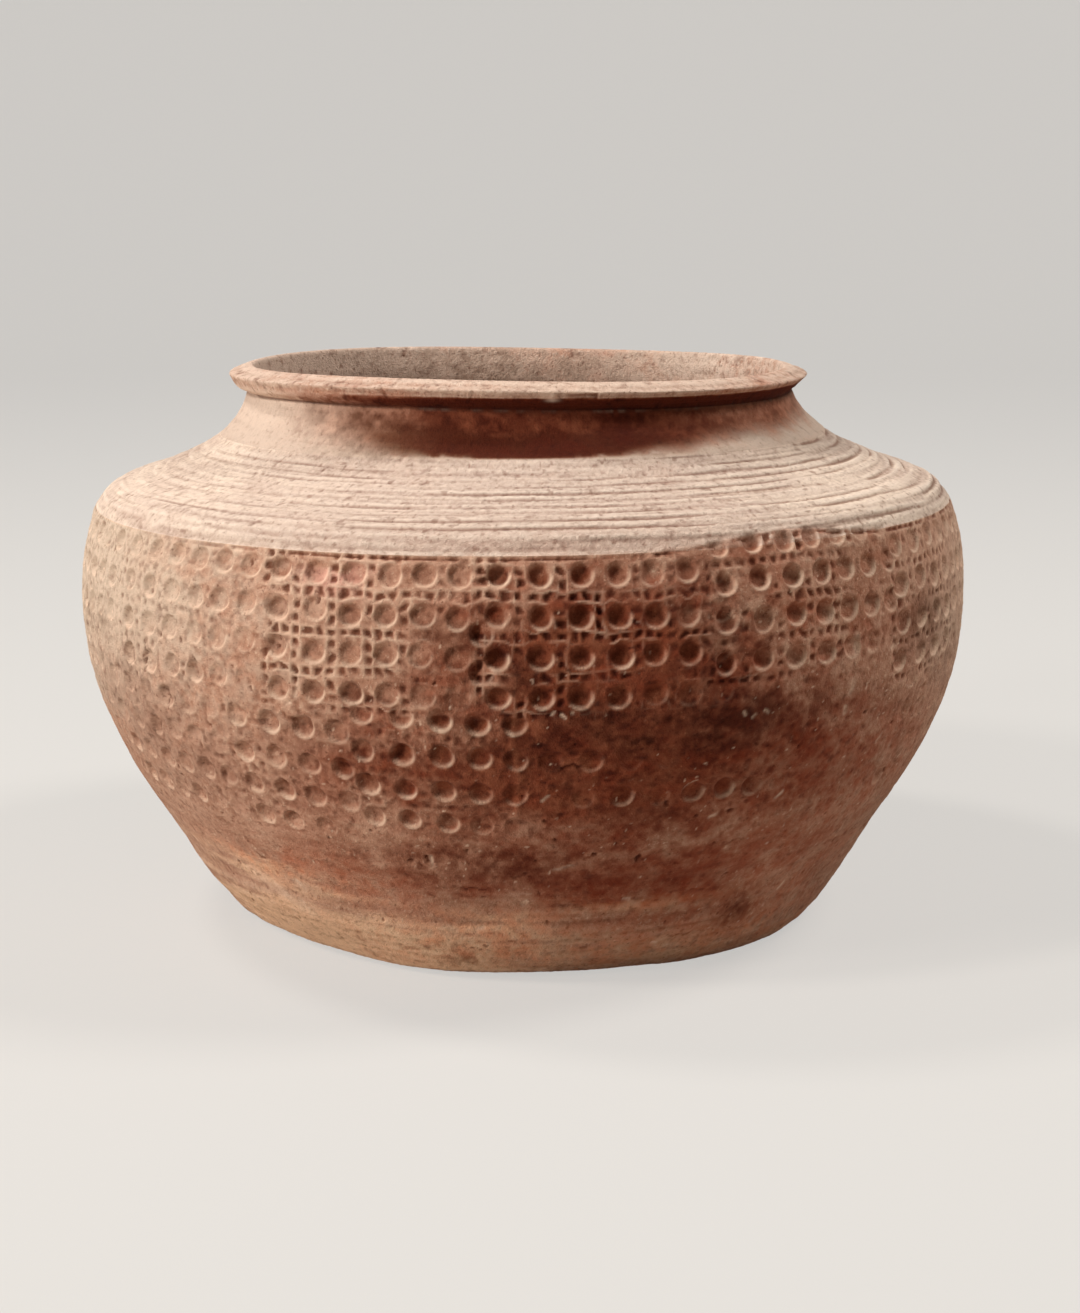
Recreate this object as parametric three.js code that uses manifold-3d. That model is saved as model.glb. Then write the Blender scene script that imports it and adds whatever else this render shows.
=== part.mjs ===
// A coil-built, paddle-stamped earthenware storage jar with a turned-out rim.
// The potter lays a base disc, stacks belly and shoulder coils on it, and lutes a neck collar and a rim
// flange on top. Each of those pieces is one mesh here. Units are millimetres, +Z is up, the front of
// the jar faces -Y, and the origin is the middle of the underside.
import * as THREE from "three";
import { mergeVertices, toCreasedNormals } from "three/addons/utils/BufferGeometryUtils.js";
import Module from "manifold-3d";

const wasm = await Module();
wasm.setup();

// Driving dimensions
const FOOT_RADIUS = 96; // flat underside that the jar stands on
const FLOOR_THICKNESS = 8;
const WALL = 7; // belly and shoulder
const NECK_WALL = 6;
const SLIP_GAP = 0.3; // film of luting slip between two pieces
const LAP = 4.5; // how far each coil laps down inside the one below it
const BELLY_COILS = 6;
const SHOULDER_COILS = 2;
const GROOVES = 10; // turned lines round the shoulder
const GROOVE_DEPTH = 0.7;
const SEGMENTS = 60; // facets round the jar
const OUTER_STEP = 6.5; // spacing of profile points outside a coil
const STAMPED_STEP = 12; // the same outside the top belly coils, which the paddle's rings cover
const STAMPED_COILS = 2;
const INNER_STEP = 12;

// Outside of the wall from the foot to the neck's waist, as [radius, height]
const WALL_POINTS = [
  [102.0, 3.2],
  [112.3, 15.5],
  [121.6, 31.0],
  [130.9, 46.0],
  [139.3, 62.0],
  [145.9, 79.0],
  [149.5, 96.0],
  [149.9, 114.0],
  [147.4, 131.0],
  [140.4, 145.5],
  [122.0, 152.8],
  [105.6, 160.4],
  [96.0, 169.2],
  [92.6, 176.4],
];
const BELLY_TOP_HEIGHT = 140; // where the stamped belly ends and the turned shoulder begins
const SHOULDER_TOP_HEIGHT = 162.5; // where the grooved shoulder meets the plain neck
const BASE_SEAM_HEIGHT = 7.5; // outer edge of the joint between base disc and first coil

// The rim flange: an undercut lip whose top slopes up to a crest round the mouth
const LIP_UNDERCUT = [95.0, 178.2];
const LIP_RADIUS = 97.6;
const LIP_HEIGHT = 181.2;
const LIP_TOP = [96.0, 182.4];
const CREST_RADIUS = 89.8;
const CREST_HEIGHT = 184.2;
const MOUTH_EDGE = [88.5, 183.2];

// The carved paddle that stamped the belly with rings, in columns and rows
const COLUMN_GAPS = [12.0, 11.7, 11.0, 10.4, 10.2];
const ROW_GAP = 11.6;
const PADDLE_ROWS = 4;
const RING_RADIUS = 3.55;
const RING_DEPTH = 2; // at the point in the middle of a ring
const RING_SIDES = 6;
const RING_CLEARANCE = 0.2; // between a ring and the thin tip of its coil
const RING_CREASE = 0.3; // radians: edges sharper than this stay crisp
const SAME_POINT = 1e-4; // corners closer than this are one corner of a solid
const BELLY_RADIUS = 149; // where the paddle's columns are measured
// Blows that show at the front: where the first ring fell (degrees round the jar and distance up the
// wall), how many columns and rows of it show, and how far its rows rise per millimetre to the right
const FRONT_BLOWS = [
  { turn: -32.6, along: 89.3, columns: 4, rows: 2, rise: 0 },
  { turn: -18.3, along: 92.3, columns: 5, rows: 3, rise: 0 },
  { turn: -80.5, along: 145.0, columns: 6, rows: 4, rise: 0.01 },
  { turn: -54, along: 145.6, columns: 6, rows: 4, rise: -0.01 },
  { turn: -28.3, along: 144.4, columns: 6, rows: 4, rise: 0 },
  { turn: -3.1, along: 144.5, columns: 6, rows: 4, rise: 0 },
  { turn: 22.6, along: 140.8, columns: 6, rows: 3, rise: 0 },
  { turn: 50, along: 144.8, columns: 6, rows: 4, rise: 0.01 },
];
// The blows go on round the back at an even step, a little up and down and a little slanted
const BACK_BLOWS = 8;
const BACK_START = 76;
const BACK_STEP = 25.4;
const BACK_ALONG = 144.3;
const BACK_SWAY = 0.6;
const BACK_SWAY_PHASE = 1.7; // radians from one blow to the next
const BACK_RISE = 0.012;
const BACK_RISE_PHASE = 2.4;

// The hand-made unevenness: the right shoulder stands a little high, and the foot bulges at one side
const SHOULDER_TILT = 1.2;
const SHOULDER_TILT_HEIGHT = 145;
const SHOULDER_TILT_REACH = 18;
const FOOT_SWELLS = [
  { angle: 48, spread: 24, out: 3.4 },
  { angle: 14, spread: 12, out: -1.4 },
  { angle: -46, spread: 20, out: -3.2 },
  { angle: -80, spread: 18, out: 1.8 },
  { angle: 175, spread: 40, out: 1.8 },
];
const FOOT_SWELL_HEIGHT = 22; // the swell has faded out at this height
const RIM_FROM = 160; // above this height the rim's own unevenness fades in
const RIM_WAVE = 0.45; // the crest rises and falls three times round the mouth
const RIM_WAVE_PHASE = 2.4;
const RIM_SHIFT = -1.5; // the rim sits a little to the left of the belly
const RIM_TILT = 0.6; // and a little low on its right
const UNDERCUT_TILT = 1; // the lip is thicker on the left, where its underside hangs lower
const UNDERCUT_REACH = 1.8;

const wall = new THREE.SplineCurve(WALL_POINTS.map(([r, z]) => new THREE.Vector2(r, z)));
wall.arcLengthDivisions = 2000;
const wallLength = wall.getLength();

// The distance along the wall, from the foot, at which it reaches a height
function distanceAtHeight(height) {
  let low = 0;
  let high = wallLength;
  while (high - low > 1e-4) {
    const middle = (low + high) / 2;
    if (wall.getPointAt(middle / wallLength).y < height) low = middle;
    else high = middle;
  }
  return low;
}

const bellyTop = distanceAtHeight(BELLY_TOP_HEIGHT);
const shoulderTop = distanceAtHeight(SHOULDER_TOP_HEIGHT);
const baseSeam = distanceAtHeight(BASE_SEAM_HEIGHT);
const waist = wallLength - SLIP_GAP;

// The outward normal of the wall's outline
function wallNormal(distance) {
  const along = wall.getTangentAt(distance / wallLength);
  return new THREE.Vector2(along.y, -along.x);
}

// A point on the outside of the wall, sunk where a turned groove runs
function outside(distance) {
  const point = wall.getPointAt(distance / wallLength);
  const share = (distance - bellyTop) / (shoulderTop - bellyTop);
  if (share <= 0 || share >= 1) return point;
  const sink = (GROOVE_DEPTH / 2) * (1 - Math.cos(share * GROOVES * 2 * Math.PI));
  return point.addScaledVector(wallNormal(distance), -sink);
}

// A point on the inside of the wall, one wall thickness in from the outside
function inside(distance) {
  const thin = THREE.MathUtils.smoothstep(distance, shoulderTop - 10, waist);
  const thickness = THREE.MathUtils.lerp(WALL, NECK_WALL, thin);
  return wall.getPointAt(distance / wallLength).addScaledVector(wallNormal(distance), -thickness);
}

// Evenly spaced points of a side of the wall, from one distance to another
function run(side, from, to, step) {
  const count = Math.max(1, Math.round(Math.abs(to - from) / step));
  return Array.from({ length: count + 1 }, (_, i) => side(from + ((to - from) * i) / count));
}

// A smooth bump that is 1 where nothing separates a place from its middle, and fades over its reach
const bump = (away, reach) => Math.exp(-((away / reach) ** 2));

// Degrees round the jar from one angle to another, the short way
const turnBetween = (from, to) => THREE.MathUtils.euclideanModulo(to - from + 180, 360) - 180;

// Moves one vertex from the true circle to where the potter's hand left it
function shapeByHand(vertex) {
  const radius = Math.hypot(vertex.x, vertex.y);
  if (radius < 1) return vertex;
  const angle = Math.atan2(vertex.x, -vertex.y); // 0 at the front, positive to the right
  const degrees = THREE.MathUtils.radToDeg(angle);
  const low = 1 - THREE.MathUtils.smoothstep(vertex.z, 0, FOOT_SWELL_HEIGHT);
  const swells = FOOT_SWELLS.map((s) => s.out * bump(turnBetween(s.angle, degrees), s.spread));
  const swell = swells.reduce((sum, out) => sum + out, 0);
  const scale = 1 + (swell * low) / FOOT_RADIUS;
  const shoulder = SHOULDER_TILT * bump(vertex.z - SHOULDER_TILT_HEIGHT, SHOULDER_TILT_REACH);
  const undercut = UNDERCUT_TILT * bump(vertex.z - LIP_UNDERCUT[1], UNDERCUT_REACH);
  const atRim = THREE.MathUtils.smoothstep(vertex.z, RIM_FROM, LIP_HEIGHT);
  const wave = RIM_WAVE * Math.sin(3 * angle + RIM_WAVE_PHASE);
  const lift = (shoulder + undercut - RIM_TILT * atRim) * Math.sin(angle) + wave * atRim;
  return vertex.set(vertex.x * scale + RIM_SHIFT * atRim, vertex.y * scale, vertex.z + lift);
}

// Turns a profile into a ring or disc about +Z and gives it the hand-made unevenness
function turned(profile) {
  const geometry = new THREE.LatheGeometry(profile, SEGMENTS);
  geometry.rotateX(Math.PI / 2);
  const position = geometry.getAttribute("position");
  const vertex = new THREE.Vector3();
  for (let i = 0; i < position.count; i += 1) {
    shapeByHand(vertex.fromBufferAttribute(position, i));
    position.setXYZ(i, vertex.x, vertex.y, vertex.z);
  }
  geometry.computeVertexNormals();
  return geometry;
}

const clay = (color, roughness) => new THREE.MeshStandardMaterial({ color, roughness, metalness: 0 });
const BELLY_CLAY = clay(0x9a6b50, 0.92);
const SHOULDER_CLAY = clay(0xc4a58c, 0.95);
const NECK_CLAY = clay(0xa5765c, 0.93);
const RIM_CLAY = clay(0xcdb19b, 0.94);
const BASE_CLAY = clay(0xa67b5c, 0.95);

// Every blow of the paddle, front and back
function blows() {
  const back = Array.from({ length: BACK_BLOWS }, (_, i) => ({
    turn: BACK_START + i * BACK_STEP,
    along: BACK_ALONG + BACK_SWAY * Math.sin(BACK_SWAY_PHASE * i),
    columns: COLUMN_GAPS.length + 1,
    rows: PADDLE_ROWS,
    rise: BACK_RISE * Math.sin(BACK_RISE_PHASE * i),
  }));
  return [...FRONT_BLOWS, ...back];
}

// The middles of one blow's rings, as { turn, along }
function ringsOf(blow) {
  const rings = [];
  let across = 0;
  for (let column = 0; column < blow.columns; column += 1) {
    const turn = blow.turn + THREE.MathUtils.radToDeg(across / BELLY_RADIUS);
    for (let row = 0; row < blow.rows; row += 1) {
      rings.push({ turn, along: blow.along + blow.rise * across - row * ROW_GAP });
    }
    across += COLUMN_GAPS[column];
  }
  return rings;
}

// A closed mesh as a solid that can be cut
function toSolid(geometry) {
  const bare = geometry.clone();
  bare.deleteAttribute("normal");
  bare.deleteAttribute("uv");
  const merged = mergeVertices(bare, SAME_POINT);
  const vertProperties = Float32Array.from(merged.getAttribute("position").array);
  const triVerts = Uint32Array.from(merged.getIndex().array);
  return new wasm.Manifold(new wasm.Mesh({ numProp: 3, vertProperties, triVerts }));
}

// A solid as a mesh that is smooth round the jar and crisp at the rings
function toGeometry(solid) {
  const mesh = solid.getMesh();
  const geometry = new THREE.BufferGeometry();
  geometry.setAttribute("position", new THREE.BufferAttribute(mesh.vertProperties, 3));
  geometry.setIndex(new THREE.BufferAttribute(mesh.triVerts, 1));
  return toCreasedNormals(geometry, RING_CREASE);
}

// The plug of air that one ring leaves in the clay: a cone, point inwards, that is as wide as the ring
// where it passes through the surface of the wall
function ringPlug({ turn, along }) {
  const angle = THREE.MathUtils.degToRad(turn);
  const point = wall.getPointAt(along / wallLength);
  const out = wallNormal(along);
  const round = (r, z) => new THREE.Vector3(r * Math.sin(angle), -r * Math.cos(angle), z);
  const place = shapeByHand(round(point.x, point.y));
  const direction = round(out.x, out.y);
  const plug = new THREE.CylinderGeometry(2 * RING_RADIUS, 0, 2 * RING_DEPTH, RING_SIDES);
  plug.applyQuaternion(new THREE.Quaternion().setFromUnitVectors(new THREE.Vector3(0, 1, 0), direction));
  plug.translate(place.x, place.y, place.z);
  return toSolid(plug);
}

// A coil's geometry with the rings stamped in whose middles lie between its two seams. A coil thins to
// a tip at its upper seam, so a ring that would reach over the tip is left out.
function stamped(geometry, from, to) {
  const clear = to - RING_RADIUS - RING_CLEARANCE;
  const rings = blows().flatMap(ringsOf).filter(({ along }) => along > from && along < clear);
  if (rings.length === 0) return geometry;
  const plugs = wasm.Manifold.union(rings.map(ringPlug));
  return toGeometry(toSolid(geometry).subtract(plugs));
}

const jar = new THREE.Group();

function addPiece(name, geometry, material) {
  const mesh = new THREE.Mesh(geometry, material);
  mesh.name = name;
  jar.add(mesh);
}

// The slab that the jar stands on. Its edge flares out to meet the first coil.
function baseDisc() {
  const top = baseSeam - SLIP_GAP / 2;
  return [
    new THREE.Vector2(0, 0),
    new THREE.Vector2(FOOT_RADIUS, 0),
    new THREE.Vector2(FOOT_RADIUS + 3, 0.9),
    outside(0),
    outside(top),
    new THREE.Vector2(inside(top - LAP).x, FLOOR_THICKNESS),
    new THREE.Vector2(0, FLOOR_THICKNESS),
  ];
}

// One coil between two seams. Both its joint faces slope, so that it laps inside the coil below it.
function coil(from, to, outerStep) {
  const low = from + SLIP_GAP / 2;
  const high = to - SLIP_GAP / 2;
  const outer = run(outside, low, high, outerStep);
  const inner = run(inside, high - LAP, low - LAP, INNER_STEP);
  return [...outer, ...inner, outer[0]];
}

// The flange above the waist, from the joint line under the lip round to the inside of the neck
function rimFlange() {
  const joint = waist + SLIP_GAP / 2;
  const ring = [
    outside(joint),
    new THREE.Vector2(...LIP_UNDERCUT),
    new THREE.Vector2(LIP_RADIUS - 0.7, LIP_HEIGHT - 1),
    new THREE.Vector2(LIP_RADIUS, LIP_HEIGHT),
    new THREE.Vector2(...LIP_TOP),
    new THREE.Vector2(CREST_RADIUS + 1.5, CREST_HEIGHT - 0.4),
    new THREE.Vector2(CREST_RADIUS, CREST_HEIGHT),
    new THREE.Vector2(...MOUTH_EDGE),
    inside(wallLength - 1),
    inside(joint - LAP),
  ];
  return [...ring, ring[0]];
}

addPiece("base_disc", turned(baseDisc()), BASE_CLAY);

const bellyCoil = (bellyTop - baseSeam) / BELLY_COILS;
for (let i = 0; i < BELLY_COILS; i += 1) {
  const from = baseSeam + i * bellyCoil;
  const to = from + bellyCoil;
  const step = i < BELLY_COILS - STAMPED_COILS ? OUTER_STEP : STAMPED_STEP;
  addPiece(`belly_coil_${i + 1}`, stamped(turned(coil(from, to, step)), from, to), BELLY_CLAY);
}

const shoulderCoil = (shoulderTop - bellyTop) / SHOULDER_COILS;
const halfGroove = (shoulderTop - bellyTop) / GROOVES / 2;
for (let i = 0; i < SHOULDER_COILS; i += 1) {
  const from = bellyTop + i * shoulderCoil;
  const geometry = turned(coil(from, from + shoulderCoil, halfGroove));
  addPiece(`shoulder_coil_${i + 1}`, geometry, SHOULDER_CLAY);
}

addPiece("neck_collar", turned(coil(shoulderTop, waist, 4)), NECK_CLAY);
addPiece("rim_flange", turned(rimFlange()), RIM_CLAY);

export default jar;
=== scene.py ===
"""The looks of a paddle-stamped, coil-built earthenware jar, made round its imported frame.

The jar's wall is one surface. A profile is turned about +Z, moved to where the potter's hand left it, and
pushed in along its own normal by the stamps, turned lines, drags, chips and pits that show on it. Each
piece is a band cut from that one surface, so its relief runs on unbroken over the joints.

Lengths are millimetres until a mesh is made. Turn is degrees round the jar, 0 at the front (-Y) and
positive towards +X. Along is the distance up the outside of the wall, measured from the foot's edge.
"""

import math

import bpy
import numpy as np
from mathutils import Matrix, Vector


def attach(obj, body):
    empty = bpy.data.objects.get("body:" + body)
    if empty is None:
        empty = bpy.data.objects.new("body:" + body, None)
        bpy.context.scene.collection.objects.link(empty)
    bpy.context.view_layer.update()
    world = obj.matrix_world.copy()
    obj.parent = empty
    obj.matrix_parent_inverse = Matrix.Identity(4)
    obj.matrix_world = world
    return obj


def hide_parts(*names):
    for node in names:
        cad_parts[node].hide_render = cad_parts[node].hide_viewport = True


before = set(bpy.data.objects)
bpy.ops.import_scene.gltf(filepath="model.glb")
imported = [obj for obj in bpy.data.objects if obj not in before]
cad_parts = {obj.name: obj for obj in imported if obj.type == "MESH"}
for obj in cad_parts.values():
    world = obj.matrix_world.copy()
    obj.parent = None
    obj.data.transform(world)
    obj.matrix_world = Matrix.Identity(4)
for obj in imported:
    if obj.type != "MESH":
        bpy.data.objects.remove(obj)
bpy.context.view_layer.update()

MM = 0.001

# The photograph's view: from 0.75 m away and a little above the rim
IMAGE_HEIGHT = 1313  # pixels
CAMERA_AWAY = 750
CAMERA_HEIGHT = 233
CAMERA_PITCH = 11.36  # degrees below the horizon
CAMERA_TURN = 0.44  # degrees to the right, which puts the jar a little left of the middle
FOCAL_SHARE = 2198.3 / IMAGE_HEIGHT  # focal length over the picture's height
SENSOR = 36

# Outside of the wall as [radius, height], from the underside round to the inside of the mouth
FOOT_POINTS = [[88.0, 0.0], [93.0, 0.0], [96.4, 0.1], [99.3, 1.0], [102.0, 3.2]]
WALL_POINTS = [
    [102.0, 3.2],
    [112.3, 15.5],
    [121.6, 31.0],
    [130.9, 46.0],
    [139.3, 62.0],
    [145.9, 79.0],
    [149.5, 96.0],
    [149.9, 114.0],
    [147.4, 131.0],
    [140.4, 145.5],
    [122.0, 152.8],
    [105.6, 160.4],
    [96.0, 169.2],
    [92.6, 176.4],
]
LIP_POINTS = [
    [92.6, 176.4],
    [95.0, 178.2],
    [96.9, 180.1],
    [97.6, 181.3],
    [96.8, 182.3],
    [93.8, 183.2],
    [91.2, 183.9],
    [89.7, 184.1],
    [88.7, 183.2],
    [88.1, 180.8],
    [87.5, 177.4],
]
WALL = 7
NECK_WALL = 6
FLOOR = 8
FLOOR_TOP = FLOOR + 0.3  # middle of the uneven floor inside
UNDERSIDE = 0.25  # middle of the uneven underside, which stays just off the ground
LAP = 4.5  # how far a coil laps down inside the one below
SLIP = 0.15  # half of the film of slip in a joint
BASE_SEAM_HEIGHT = 7.5
BELLY_TOP_HEIGHT = 140
SHOULDER_TOP_HEIGHT = 162.5
BELLY_COILS = 6
SHOULDER_COILS = 2

# The hand-made unevenness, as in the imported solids
FOOT_RADIUS = 96
FOOT_SWELLS = [(48, 24, 3.4), (14, 12, -1.4), (-46, 20, -3.2), (-80, 18, 1.8), (175, 40, 1.8)]
FOOT_SWELL_HEIGHT = 22
SHOULDER_TILT = 1.2
SHOULDER_TILT_HEIGHT = 145
SHOULDER_TILT_REACH = 18
RIM_FROM = 160
RIM_WAVE = 0.45
RIM_WAVE_PHASE = 2.4
RIM_SHIFT = -1.5
RIM_TILT = 0.6
UNDERCUT_TILT = 1.0
UNDERCUT_REACH = 1.8

# How finely the clay is modelled
FINE = 1800  # columns round the outside, half a millimetre apart at the belly
NECK_FINE = 900
COARSE = 450
POLE = 90
STAMP_STEP = 0.53
SCRAPE_STEP = 0.8
LIP_STEP = 0.6
INSIDE_STEP = 2.2
NECK_INSIDE_STEP = 0.9

BELLY_RADIUS = 149
RIM_RADIUS = 90
MM_PER_DEGREE = BELLY_RADIUS * math.pi / 180
LATTICE_START = -20  # along, below every place that a noise is asked for
LATTICE_LENGTH = 300


def spline(points, steps=80):
    """A Catmull-Rom curve with its end points doubled, as many dense points along it."""
    p = np.array(points, float)
    p = np.vstack([p[:1], p, p[-1:]])
    t = np.linspace(0, 1, steps, endpoint=False)[:, None]
    out = []
    for a, b, c, d in zip(p, p[1:], p[2:], p[3:]):
        v0, v1 = (c - a) / 2, (d - b) / 2
        out.append((2 * b - 2 * c + v0 + v1) * t**3 + (3 * c - 3 * b - 2 * v0 - v1) * t**2 + v0 * t + b)
    return np.vstack(out + [p[-1:]])


def lengths(points):
    """The distance along a run of points at each of them."""
    return np.r_[0, np.cumsum(np.hypot(*np.diff(points, axis=0).T))]


def normals(points):
    """A quarter turn clockwise from the direction of travel: outwards, on the way up the wall."""
    ahead = np.gradient(points, axis=0)
    ahead /= np.hypot(*ahead.T)[:, None]
    return np.stack([ahead[:, 1], -ahead[:, 0]], 1)


wall_curve = spline(WALL_POINTS)
wall_along = lengths(wall_curve)
wall_normal = normals(wall_curve)
WALL_LENGTH = wall_along[-1]


def along_at(height):
    return float(np.interp(height, wall_curve[:, 1], wall_along))


def smooth(value, low, high):
    """0 below low, 1 above high, and an S-shaped rise between."""
    share = np.clip((value - low) / (high - low), 0, 1)
    return share * share * (3 - 2 * share)


BASE_SEAM = along_at(BASE_SEAM_HEIGHT)
BELLY_TOP = along_at(BELLY_TOP_HEIGHT)
SHOULDER_TOP = along_at(SHOULDER_TOP_HEIGHT)
LIP_SEAM = WALL_LENGTH - SLIP
NOTCH_ALONG = LIP_SEAM + 5.4  # the notch in the lip, just under its outer edge


def inside(along):
    """The point one wall thickness in from the outside: the outside, less its normal times the thickness."""
    thick = WALL + (NECK_WALL - WALL) * smooth(along, SHOULDER_TOP - 10, LIP_SEAM)
    place = [np.interp(along, wall_along, wall_curve[:, i]) for i in (0, 1)]
    out = [np.interp(along, wall_along, wall_normal[:, i]) for i in (0, 1)]
    return np.stack([place[0] - out[0] * thick, place[1] - out[1] * thick], -1)


lip_curve = spline(LIP_POINTS + inside(np.array([LIP_SEAM - 2.2, LIP_SEAM - LAP])).tolist())
foot_curve = spline(FOOT_POINTS)
outline = np.vstack([foot_curve[:-1], wall_curve[:-1], lip_curve])
outline_along = lengths(outline) - lengths(foot_curve)[-1]
outline_normal = normals(outline)
FOOT_START = outline_along[0]
LIP_END = outline_along[-1]


def wrapped(turn):
    """Degrees brought to the range from -180 to 180."""
    return (turn + 180) % 360 - 180


def bump(away, reach):
    """A bell that is 1 at its middle and fades over its reach."""
    return np.exp(-((away / reach) ** 2))


def shaped_by_hand(radius, height, turn):
    """A point of the true circle moved to where the hand left it.

    The foot's radius grows by each swell's bell round the jar, fading upwards. The shoulder, the lip's
    underside and the rim lift with the sine of the turn, the rim waves three times, and it shifts to -X.
    """
    angle = np.radians(turn)
    low = 1 - smooth(height, 0, FOOT_SWELL_HEIGHT)
    swell = sum(out * bump(wrapped(turn - at), spread) for at, spread, out in FOOT_SWELLS)
    grown = radius * (1 + swell * low / FOOT_RADIUS)
    at_rim = smooth(height, RIM_FROM, LIP_POINTS[3][1])
    tilt = SHOULDER_TILT * bump(height - SHOULDER_TILT_HEIGHT, SHOULDER_TILT_REACH)
    tilt = tilt + UNDERCUT_TILT * bump(height - LIP_POINTS[1][1], UNDERCUT_REACH)
    lift = (tilt - RIM_TILT * at_rim) * np.sin(angle)
    lift = lift + RIM_WAVE * np.sin(3 * angle + RIM_WAVE_PHASE) * at_rim
    return np.stack(
        [grown * np.sin(angle) + RIM_SHIFT * at_rim, -grown * np.cos(angle), height + lift], -1
    )


def grain(seed, tall, wide, along, turn):
    """Smooth random heights from 0 to 1: random lattice values, eased between.

    A cell of the lattice is tall mm up the wall and wide mm round the belly, and it closes on itself.
    """
    around = max(3, round(2 * math.pi * BELLY_RADIUS / wide))
    lattice = np.random.default_rng(seed).random((int(LATTICE_LENGTH / tall) + 3, around))
    up = (along - LATTICE_START) / tall
    across = (turn % 360) / 360 * around
    row, column = np.floor(up).astype(int), np.floor(across).astype(int)
    f, g = up - row, across - column
    f, g = f * f * (3 - 2 * f), g * g * (3 - 2 * g)
    nearer, farther = column % around, (column + 1) % around
    low = lattice[row, nearer] * (1 - g) + lattice[row, farther] * g
    high = lattice[row + 1, nearer] * (1 - g) + lattice[row + 1, farther] * g
    return low * (1 - f) + high * f


def blob(along, turn, at, reach):
    """A soft patch: the product of two bells, at (turn, along), with a reach in degrees and in mm."""
    return bump(wrapped(turn - at[0]), reach[0]) * bump(along - at[1], reach[1])


def band(along, low, high, edge):
    """1 between two distances up the wall, with edges that soft."""
    return smooth(along, low - edge, low + edge) * (1 - smooth(along, high - edge, high + edge))


# The carved paddle: rings in rows and columns, with lines of small square cells between them
COLUMN_GAPS = (12.0, 11.7, 11.0, 10.4, 10.2, 10.2)
ROW_GAP = 11.6
OUTER_CELLS = 5.1  # from the outer rings' middles to the cells beyond them
PADDLE_EDGE = 6.6  # and to the paddle's edge
RING_RADIUS = 3.7
RING_DEPTH = 1.9
RING_LEAN = 0.3
EDGE_AT = 0.93  # of a ring's radius, where its drawn edge lies
EDGE_WIDTH = 0.45
CELL = 2.0
CELL_DEPTH = 1.05
NET_WIDTH = 0.6  # of the fine ridges that the cuts between the cells left
CELL_EDGE = 0.8  # how soft a cell's edge is
OLD_LOST = 0.5  # of the older marks' depth, under a new blow
PRINT_WARP = 0.7  # full range, in mm, over which a print is dragged out of true
CELL_WARP = 1.7  # and its small cells, on top of that

ring_columns = np.r_[0, np.cumsum(COLUMN_GAPS)]

# Blows seen in the photograph: turn and along of the first ring, columns, rows, strength, how far the
# rows rise per mm to the right, how much of it has worn away, and how well its small cells were pressed
BLOWS = [
    (-60, 101.0, 6, 4, 0.9, -0.02, 0.65, 0.0),
    (-34.6, 98.6, 4, 4, 1.1, -0.05, 0.35, 0.3),
    (-18.3, 103.4, 5, 4, 1.1, -0.03, 0.25, 0.35),
    (-80.5, 145.0, 6, 4, 0.95, 0.01, 0.45, 0.4),
    (-54, 145.6, 7, 4, 1.0, -0.01, 0.35, 0.35),
    (-28.3, 144.4, 7, 4, 1.0, 0.0, 0.15, 1.0),
    (-4.5, 128.2, 1, 2, 1.8, 0.0, 0.0, 0.0),
    (-2.8, 144.5, 7, 4, 1.05, 0.0, 0.2, 1.0),
    (22.6, 151.4, 7, 1, 0.9, 0.0, 0.2, 1.0),
    (23.0, 140.8, 7, 3, 1.2, 0.0, 0.15, 0.6),
    (50.5, 144.8, 6, 4, 1.05, 0.01, 0.25, 0.6),
    (3, 90.0, 4, 1, 0.5, 0.0, 0.8, 0.0),
    (7, 77.0, 9, 1, 0.85, 0.012, 0.6, 0.0),
]
BACK_BLOWS = 8
BACK_START = 76
BACK_STEP = 25.4
BACK_ALONG = 144.3
BACK_SWAY = 0.6
BACK_SWAY_PHASE = 1.7  # radians from one blow to the next
BACK_RISE = 0.012
BACK_RISE_PHASE = 2.4
LOW_BLOWS = 11  # of the worn tier below, round the sides and the back


def box(away, half, edge):
    """1 within half of the middle, falling to 0 over an edge."""
    return 1 - smooth(np.abs(away), half - edge, half + edge)


def combed(value, places, half, edge):
    """A row of boxes, one at each place."""
    return sum(box(value - place, half, edge) for place in places)


def thirds(edges):
    """Every edge, and the two places that cut each gap between edges in three."""
    steps = np.arange(3 * (len(edges) - 1) + 1) / 3
    return np.interp(steps, np.arange(len(edges)), edges)


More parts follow.
